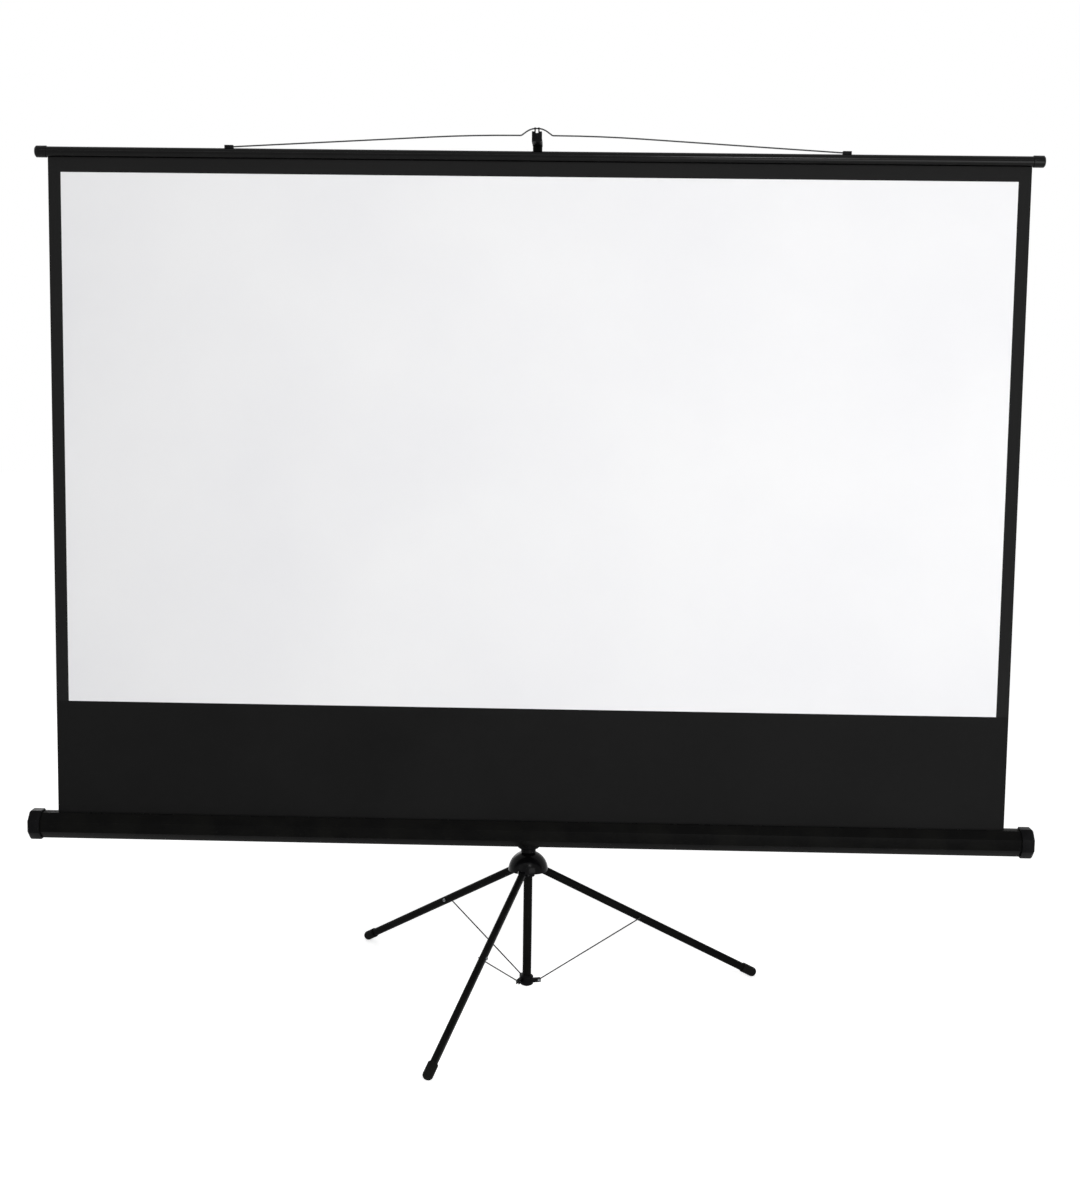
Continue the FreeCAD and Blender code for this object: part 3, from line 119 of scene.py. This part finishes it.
def add_surface(tree, shader, tones, patch_mm, rough, grain_mm, relief_mm):
    """Patchy tone and roughness, and a fine bump, from two noises. Returns the tone's socket."""
    place = add_node(tree, "ShaderNodeTexCoord", {}).outputs["Object"]
    patches = add_node(
        tree, "ShaderNodeTexNoise", {"Vector": place, "Scale": per_metre(patch_mm), "Detail": 3.0}
    ).outputs["Fac"]
    share = add_node(
        tree, "ShaderNodeMapRange", {"Value": patches, "From Min": PATCH_LEAST, "From Max": PATCH_MOST}
    ).outputs["Result"]
    tone = add_node(
        tree, "ShaderNodeMix", {0: share, 6: linear(tones[0]), 7: linear(tones[1])}, data_type="RGBA"
    ).outputs[2]
    tree.links.new(tone, shader.inputs["Base Color"])
    roughness = add_node(
        tree, "ShaderNodeMapRange", {"Value": share, "To Min": rough[0], "To Max": rough[1]}
    ).outputs["Result"]
    tree.links.new(roughness, shader.inputs["Roughness"])
    grain = add_node(
        tree, "ShaderNodeTexNoise", {"Vector": place, "Scale": per_metre(grain_mm), "Detail": 2.0}
    ).outputs["Fac"]
    bump = add_node(tree, "ShaderNodeBump", {"Height": grain, "Distance": relief_mm * MM})
    tree.links.new(bump.outputs["Normal"], shader.inputs["Normal"])
    return tone


# %% [markdown]
# ## Black finishes
# Nearly everything here is black, so the pieces are told apart by how they shine. Powder-coated steel
# has a satin skin with a faint orange peel, and the slat a glossier one. Moulded ABS carries the fine
# spark grain of its tool, and the dome over the leg pivots came from a polished one. The feet are dull
# rubber. In a white room every clear skin mirrors the room, and at the default specular level that
# alone would turn black into grey, so the level is set low here and the lamps draw the highlights.

# %% Powder coat, mouldings and rubber
powder_coat, tree, shader = new_finish("powder_coated_steel", specular_ior_level=0.018)
add_surface(tree, shader, ("#0b0b0b", "#10100f"), 60, (0.24, 0.32), 1.6, 0.012)

gloss_coat, tree, shader = new_finish("gloss_coated_steel", specular_ior_level=0.11)
add_surface(tree, shader, ("#050505", "#090909"), 60, (0.14, 0.19), 2.5, 0.004)

moulded_abs, tree, shader = new_finish("spark_grained_abs", specular_ior_level=0.03)
add_surface(tree, shader, ("#0b0b0c", "#111112"), 25, (0.32, 0.42), 0.8, 0.02)

polished_abs, tree, shader = new_finish("polished_abs", specular_ior_level=0.06)
add_surface(tree, shader, ("#060607", "#0a0a0b"), 30, (0.19, 0.24), 6.0, 0.002)

foot_rubber, tree, shader = new_finish("moulded_rubber", specular_ior_level=0.05)
add_surface(tree, shader, ("#0d0d0c", "#151413"), 9, (0.66, 0.82), 1.2, 0.04)
black_finishes = (powder_coat, gloss_coat, moulded_abs, polished_abs, foot_rubber)
print("black finishes:", [material.name for material in black_finishes])

# %% [markdown]
# ## Bare metal
# The pins and screws are zinc-plated steel, greyer and softer than chrome. The braces are drawn wire,
# left darker by its drawing soap. The bail is spring wire with a black oxide, which still looks metallic
# where it bends.

# %% Zinc plate, drawn wire and blackened wire
zinc_plate, tree, shader = new_finish("zinc_plated_steel", metallic=1.0)
add_surface(tree, shader, ("#6c6f72", "#85888b"), 4, (0.34, 0.48), 0.5, 0.004)

drawn_wire, tree, shader = new_finish("drawn_steel_wire", metallic=1.0)
add_surface(tree, shader, ("#242424", "#323232"), 5, (0.36, 0.48), 0.5, 0.004)

oxide_wire, tree, shader = new_finish("blackened_spring_wire", metallic=0.7, specular_ior_level=0.3)
add_surface(tree, shader, ("#2e2f30", "#3f4041"), 8, (0.36, 0.48), 0.6, 0.004)
print("metals:", zinc_plate.name, drawn_wire.name, oxide_wire.name)

# %% [markdown]
# ## Dress the CAD nodes
# The solids whose shape is right stay as they are and only take their finish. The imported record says
# what each node is made of, so its material slot picks the finish. A few nodes then differ from the rest
# of their slot. The solids of the cloth are replaced further on, so theirs never shows.

# %% Finish by slot
FINISHES = {
    "black_enamel": powder_coat, "black_moulding": moulded_abs, "gloss_black_moulding": polished_abs,
    "foot_rubber": foot_rubber, "zinc_steel": zinc_plate, "black_wire": oxide_wire,
    "screen_cloth": moulded_abs,
}
RECORD = frame["record"]
SLOTS = {item["node"]: item["material_slot"] for item in RECORD["subparts"]}
BODIES = {node: body for body, held in RECORD["behaviour"]["bodies"].items() for node in held}


def finish(piece, *materials):
    """Give a piece its finishes, in the order of its faces' material numbers."""
    piece.data.materials.clear()
    for material in materials:
        piece.data.materials.append(material)


NODE_FINISHES = {"slat_tube": gloss_coat, "slat_cap_left": gloss_coat, "slat_cap_right": gloss_coat}
NODE_FINISHES.update({name: drawn_wire for name in NODES if name.endswith("_brace_rod")})
for name, node in NODES.items():
    finish(node, NODE_FINISHES.get(name, FINISHES[SLOTS[name]]))
print("finished nodes:", len(NODES))

# %% [markdown]
# ## Rounded edges
# No real edge is perfectly sharp: a moulding leaves a rounded tool and folded steel has a bend radius,
# and that thin curve is what catches the light. Each piece here is copied from its node, its loose
# triangles are merged into whole faces, and a Bevel rounds the edges that turn sharply.

# %% Selection and modifier helpers


def pick(piece):
    """Leave one piece selected and active."""
    bpy.ops.object.select_all(action="DESELECT")
    piece.select_set(True)
    bpy.context.view_layer.objects.active = piece


def apply_modifier(piece, kind, **settings):
    """Add a modifier, set it and apply it."""
    pick(piece)
    modifier = piece.modifiers.new(kind.lower(), kind)
    for name, setting in settings.items():
        setattr(modifier, name, setting)
    bpy.ops.object.modifier_apply(modifier=modifier.name)


# %% Soften the edges that show
MERGE_DISTANCE = 0.002 * MM
FLAT_ANGLE = math.radians(0.5)
SHARP_ANGLE = math.radians(28)
EDGE_SEGMENTS = 3


def soften(node, radius_mm):
    """A copy of a CAD node with its sharp edges rounded, which stands for the node."""
    piece = bpy.data.objects.new(f"{node}_rounded", NODES[node].data.copy())
    bpy.context.scene.collection.objects.link(piece)
    pick(piece)
    bpy.ops.mesh.customdata_custom_splitnormals_clear()
    bpy.ops.object.mode_set(mode="EDIT")
    bpy.ops.mesh.select_all(action="SELECT")
    bpy.ops.mesh.remove_doubles(threshold=MERGE_DISTANCE)
    bpy.ops.mesh.dissolve_limited(angle_limit=FLAT_ANGLE)
    bpy.ops.object.mode_set(mode="OBJECT")
    apply_modifier(
        piece, "BEVEL", width=radius_mm * MM, segments=EDGE_SEGMENTS,
        limit_method="ANGLE", angle_limit=SHARP_ANGLE,
    )
    bpy.ops.object.shade_smooth_by_angle(angle=SHARP_ANGLE)
    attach(piece, BODIES[node])
    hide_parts(node)
    return piece


EDGE_RADII = {
    "case_shell": 1.2, "case_cap_left": 1.6, "case_cap_right": 1.6, "hook_head": 0.8, "slider": 0.8,
    "mast_collar": 0.8, "hub_core": 0.5, "brace_spider": 0.4, "mast_knob": 0.8, "slider_knob": 0.8,
    "slat_cap_left": 0.8, "slat_cap_right": 0.8, "bail_clips": 0.5, "case_bracket": 0.3, "hub_dome": 0.6,
}
for node, radius in EDGE_RADII.items():
    piece = soften(node, radius)
    print(f"{piece.name}: {len(piece.data.polygons)} faces")

# %% [markdown]
# ## The cloth's faces
# The picture is matte white vinyl, embossed so that it scatters the projector's light. Its frame is
# printed on in black, and its back is coated charcoal so that no light passes through. The print follows
# the cloth when it winds in, so it is drawn on the cloth's own UV map, which runs from 0 to 1 over the
# sheet. The real emboss is under half a millimetre and is drawn at 2 mm, because it wouldn't show.

# %% Cloth sizes
CLOTH_LOW, CLOTH_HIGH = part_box("screen_fabric")
CLOTH_WIDTH = CLOTH_HIGH[0] - CLOTH_LOW[0]
CLOTH_THICKNESS = CLOTH_HIGH[1] - CLOTH_LOW[1]
PICTURE_WIDTH = 2.214
PICTURE_HEIGHT = 1.245
DROP_SHOWING = 0.273
PICTURE_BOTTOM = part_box("case_shell")[1][2] + DROP_SHOWING
PICTURE_TOP = PICTURE_BOTTOM + PICTURE_HEIGHT
print(f"cloth {CLOTH_WIDTH:.3f} m wide, picture from {PICTURE_BOTTOM:.4f} to {PICTURE_TOP:.4f} m high")

# %% Plain cloth finishes
EMBOSS_MM = 2.0
drop_vinyl, tree, shader = new_finish("black_drop_vinyl", specular_ior_level=0.05)
add_surface(tree, shader, ("#101010", "#151515"), 300, (0.55, 0.65), EMBOSS_MM, 0.01)
back_vinyl, tree, shader = new_finish("charcoal_backing_vinyl", specular_ior_level=0.05)
add_surface(tree, shader, ("#28282a", "#2f2f30"), 400, (0.60, 0.70), EMBOSS_MM, 0.015)
print("plain cloth finishes:", drop_vinyl.name, back_vinyl.name)

# %% Printed picture
BORDER_BLACK = "#1a1a1a"
picture_vinyl, tree, shader = new_finish("printed_white_vinyl", specular_ior_level=0.1)
white = add_surface(tree, shader, ("#e8e8ea", "#ececed"), 500, (0.78, 0.86), EMBOSS_MM, 0.006)
sheet_place = add_node(tree, "ShaderNodeUVMap", {}, uv_map="UVMap").outputs["UV"]
across_up = add_node(tree, "ShaderNodeSeparateXYZ", {"Vector": sheet_place}).outputs
off_centre = add_node(tree, "ShaderNodeMath", {0: across_up["X"], 1: 0.5}, operation="SUBTRACT").outputs[0]
from_centre = add_node(tree, "ShaderNodeMath", {0: off_centre}, operation="ABSOLUTE").outputs[0]
at_side = add_node(
    tree, "ShaderNodeMath", {0: from_centre, 1: PICTURE_WIDTH / 2 / CLOTH_WIDTH}, operation="GREATER_THAN"
).outputs[0]
at_top = add_node(
    tree, "ShaderNodeMath",
    {0: across_up["Y"], 1: PICTURE_HEIGHT / (CLOTH_HIGH[2] - PICTURE_BOTTOM)}, operation="GREATER_THAN",
).outputs[0]
in_border = add_node(tree, "ShaderNodeMath", {0: at_side, 1: at_top}, operation="MAXIMUM").outputs[0]
printed = add_node(
    tree, "ShaderNodeMix", {0: in_border, 6: white, 7: linear(BORDER_BLACK)}, data_type="RGBA"
).outputs[2]
tree.links.new(printed, shader.inputs["Base Color"])
print("printed finish:", picture_vinyl.name)

# %% [markdown]
# ## The hanging cloth
# The cloth is one sheet half a millimetre thick, but it shortens in two places: the picture comes down
# with the slat, and the black drop winds in when the case is raised. So it is made as two sheets that
# meet at the foot of the picture, where the print hides the line. Each starts as an upright plane. Its
# long edges are extruded outwards in small steps that bend back, as rolled vinyl does at its sides.

# %% Sheet helpers


def select_points(piece, wanted):
    """Select the vertices whose place passes a test, and stay in edit mode."""
    pick(piece)
    bpy.ops.object.mode_set(mode="EDIT")
    bpy.ops.mesh.select_mode(type="VERT")
    bpy.ops.mesh.select_all(action="DESELECT")
    bpy.ops.object.mode_set(mode="OBJECT")
    for vertex in piece.data.vertices:
        vertex.select = wanted(vertex.co)
    bpy.ops.object.mode_set(mode="EDIT")


def upright_plane(name, width, height, y, z):
    """A plane that faces the viewer, with its size and place in its mesh."""
    bpy.ops.object.select_all(action="DESELECT")
    bpy.ops.mesh.primitive_plane_add(size=1, rotation=(math.pi / 2, 0, 0), location=(0, y, z))
    plane = bpy.context.object
    plane.name = name
    plane.scale = (width, height, 1)
    bpy.ops.object.transform_apply(location=True, rotation=True, scale=True)
    return plane


def face_viewer(sheet):
    """Turn all the faces of an open sheet towards the viewer."""
    pick(sheet)
    bpy.ops.object.mode_set(mode="EDIT")
    bpy.ops.mesh.select_all(action="SELECT")
    bpy.ops.mesh.normals_make_consistent(inside=False)
    bpy.ops.object.mode_set(mode="OBJECT")
    if sheet.data.polygons[0].normal.y > 0:
        sheet.data.flip_normals()


# %% Hang the sheets
SHEET_CUTS = 40
SIDE_TOLERANCE = 0.1 * MM
CURL_STEPS = 4
CURL_STEP = 4 * MM
CURL_LEAN = 0.16 * MM
FOLD_ANGLE = math.radians(30)


def hang_sheet(name, low, high, front):
    """A taut sheet between two heights that faces the viewer, with its side edges turned back."""
    flat_half = CLOTH_WIDTH / 2 - CURL_STEPS * CURL_STEP
    sheet = upright_plane(name, 2 * flat_half, high - low, CLOTH_LOW[1], (low + high) / 2)
    bpy.ops.object.mode_set(mode="EDIT")
    bpy.ops.mesh.select_all(action="SELECT")
    bpy.ops.mesh.subdivide(number_cuts=SHEET_CUTS)
    bpy.ops.object.mode_set(mode="OBJECT")
    for side in (-1, 1):
        select_points(sheet, lambda co: co.x * side > flat_half - SIDE_TOLERANCE)
        for step in range(CURL_STEPS):
            bend = (side * CURL_STEP, CURL_LEAN * (step + 1), 0)
            bpy.ops.mesh.extrude_region_move(TRANSFORM_OT_translate={"value": bend})
        bpy.ops.object.mode_set(mode="OBJECT")
    face_viewer(sheet)
    sheet_map = sheet.data.uv_layers["UVMap"].data
    for corner in sheet.data.loops:
        place = sheet.data.vertices[corner.vertex_index].co
        sheet_map[corner.index].uv = (place.x / CLOTH_WIDTH + 0.5, (place.z - low) / (high - low))
    finish(sheet, front, back_vinyl)
    apply_modifier(
        sheet, "SOLIDIFY", thickness=CLOTH_THICKNESS, offset=-1, material_offset=1, material_offset_rim=1
    )
    bpy.ops.object.shade_smooth_by_angle(angle=FOLD_ANGLE)
    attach(sheet, "mast")
    return sheet


picture_cloth = hang_sheet("picture_cloth", PICTURE_BOTTOM, CLOTH_HIGH[2], picture_vinyl)
drop_cloth = hang_sheet("black_drop_cloth", CLOTH_LOW[2], PICTURE_BOTTOM, drop_vinyl)
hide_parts("screen_fabric")
for sheet in (picture_cloth, drop_cloth):
    print(f"{sheet.name}: {len(sheet.data.polygons)} faces")

# %% [markdown]
# ## Each sheet's own mesh
# The slat can come down by the mast's whole travel, and the case can rise by its own. Each sheet is
# given a mesh of its own here, and its length stays as it is.

# %% Give each sheet its own mesh
for sheet, slide in ((picture_cloth, "mast_extend"), (drop_cloth, "case_height")):
    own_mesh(sheet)

# %% [markdown]
# ## Turns of cloth on the roller
# Inside the case, the last turns of cloth stay on the roller. One edge as long as the cloth is wide is
# extruded round the roller's axis in small turns, a little further out each time, which is how a sheet
# winds. It is made thinner than the cloth, so that the turns stay clear of each other.

# %% Wind the roller
WIND_TURNS = 1.5
STEPS_PER_TURN = 32
FIRST_STRIP = 1 * MM
WOUND_THICKNESS = 0.6 * CLOTH_THICKNESS
ROLL_LOW, ROLL_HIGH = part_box("fabric_winding")
TUBE_LOW, TUBE_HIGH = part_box("roller_tube")
roll_width = ROLL_HIGH[0] - ROLL_LOW[0]
roll_axis = tuple((low + high) / 2 for low, high in zip(ROLL_LOW, ROLL_HIGH))
inner = (TUBE_HIGH[2] - TUBE_LOW[2]) / 2 + CLOTH_THICKNESS / 2
outer = (ROLL_HIGH[2] - ROLL_LOW[2]) / 2 - CLOTH_THICKNESS / 2
steps = round(WIND_TURNS * STEPS_PER_TURN)
growth = (outer / inner) ** (1 / steps)
winding = upright_plane("wound_cloth", roll_width, FIRST_STRIP, roll_axis[1] - inner, roll_axis[2])
select_points(winding, lambda co: co.z > roll_axis[2])
turn = 2 * math.pi / STEPS_PER_TURN
for _ in range(steps):
    bpy.ops.mesh.extrude_region_move()
    bpy.ops.transform.rotate(value=turn, orient_axis="X", center_override=roll_axis)
    bpy.ops.transform.resize(value=(1, growth, growth), center_override=roll_axis)
bpy.ops.object.mode_set(mode="OBJECT")
face_viewer(winding)
finish(winding, drop_vinyl, back_vinyl)
apply_modifier(winding, "SOLIDIFY", thickness=WOUND_THICKNESS, offset=0, material_offset=1)
bpy.ops.object.shade_smooth_by_angle(angle=FOLD_ANGLE)
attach(winding, "roller")
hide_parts("fabric_winding")

# %% [markdown]
# ## Floor and background
# The product stands on a plain pale floor in a white room. The world is white to the camera and to
# reflections, and only a soft grey to the surfaces it lights. The floor adds a little white of its own
# to what the camera sees, so that it meets the background and still keeps the screen's shadow.

# %% Floor
FLOOR_SIZE = 60
FLOOR_GLOW = 0.63
bpy.ops.object.select_all(action="DESELECT")
bpy.ops.mesh.primitive_plane_add(size=FLOOR_SIZE, location=(0, 0, 0))
floor = bpy.context.object
floor.name = "studio_floor"


def seen_directly(tree):
    """1 for rays that reach the camera straight, by reflection or through glass, else 0."""
    path = add_node(tree, "ShaderNodeLightPath", {}).outputs
    mirrored = add_node(
        tree, "ShaderNodeMath",
        {0: path["Is Glossy Ray"], 1: path["Is Transmission Ray"]}, operation="MAXIMUM",
    ).outputs[0]
    return add_node(
        tree, "ShaderNodeMath", {0: path["Is Camera Ray"], 1: mirrored}, operation="MAXIMUM"
    ).outputs[0]


floor_paint, tree, shader = new_finish("pale_studio_floor", roughness=0.9, specular_ior_level=0.0)
shader.inputs["Base Color"].default_value = linear("#f2f2f2")
shader.inputs["Emission Color"].default_value = linear("#ffffff")
glow = add_node(tree, "ShaderNodeMath", {0: seen_directly(tree), 1: FLOOR_GLOW}, operation="MULTIPLY")
tree.links.new(glow.outputs[0], shader.inputs["Emission Strength"])
finish(floor, floor_paint)
print("floor:", floor.name, floor_paint.name)

# %% World
AMBIENT = 0.425
world = bpy.data.worlds.new("white_room")
world.use_nodes = True
bpy.context.scene.world = world
tree = world.node_tree
room = tree.nodes["Background"]
strength = add_node(
    tree, "ShaderNodeMapRange", {"Value": seen_directly(tree), "To Min": AMBIENT, "To Max": 1.0}
).outputs["Result"]
room.inputs["Color"].default_value = linear("#ffffff")
tree.links.new(strength, room.inputs["Strength"])
print("world:", world.name, "ambient", AMBIENT)

# %% [markdown]
# ## Light
# Two large soft lamps stand in front of the screen. The key is on the right, so the cloth is a little
# brighter on that side, and a weaker fill on the left keeps the legs from going flat. A smaller one,
# higher up, draws the soft spot on the dome, and a long thin one a faint line along the slat. One more
# stands behind, so that the mast can be told from the dark back of the cloth.

# %% Lamps


def soft_lamp(name, place, target, width, height, watts):
    """A rectangular lamp at a place, turned towards a target."""
    data = bpy.data.lights.new(name, "AREA")
    data.shape = "RECTANGLE"
    data.size, data.size_y = width, height
    data.energy = watts
    lamp = bpy.data.objects.new(name, data)
    bpy.context.scene.collection.objects.link(lamp)
    lamp.location = place
    lamp.rotation_euler = (Vector(target) - Vector(place)).to_track_quat("-Z", "Y").to_euler()
    return lamp


soft_lamp("key_lamp", (1.7, -3.6, 0.9), (0.3, 0, 0.9), 2.4, 2.0, 60)
soft_lamp("fill_lamp", (-3.8, -3.4, 2.2), (-0.3, 0, 0.9), 2.4, 2.4, 12)
soft_lamp("high_lamp", (0.9, -3.9, 3.4), (0.0, 0, 0.6), 0.8, 0.8, 38)
soft_lamp("strip_lamp", (-0.1, -3.8, 4.3), (-0.1, 0, 2.0), 5.2, 0.3, 18)
soft_lamp("back_lamp", (-1.6, 3.8, 2.0), (0.0, 0, 1.0), 2.0, 2.0, 30)
print("lamps:", len(bpy.data.lights))

# %% [markdown]
# ## Camera
# The photograph was taken from about four metres away and 1.4 metres up, looking slightly down. The
# camera's place, turns and focal length were fitted to the corners of the picture, the ends of the case,
# the hook and the feet.

# %% Photograph's camera
CAMERA_PLACE = Vector((0.115913, -4.079281, 1.435844))
YAW, PITCH, ROLL = (math.radians(angle) for angle in (-1.3521, 6.0404, 0.7817))
FOCAL_LENGTH = 52.119
SENSOR_SIZE = 36
ahead = Vector((math.sin(YAW) * math.cos(PITCH), math.cos(YAW) * math.cos(PITCH), -math.sin(PITCH)))
level = Vector((math.cos(YAW), -math.sin(YAW), 0))
rise = level.cross(ahead)
right = math.cos(ROLL) * level + math.sin(ROLL) * rise
up = math.cos(ROLL) * rise - math.sin(ROLL) * level
lens = bpy.data.cameras.new("photo_camera")
lens.sensor_width = SENSOR_SIZE
lens.lens = FOCAL_LENGTH
camera = bpy.data.objects.new("photo_camera", lens)
bpy.context.scene.collection.objects.link(camera)
camera.matrix_world = Matrix.Translation(CAMERA_PLACE) @ Matrix((right, up, -ahead)).transposed().to_4x4()
bpy.context.scene.camera = camera
bpy.context.scene.view_settings.view_transform = "Standard"
print("camera at", tuple(round(c, 3) for c in CAMERA_PLACE))
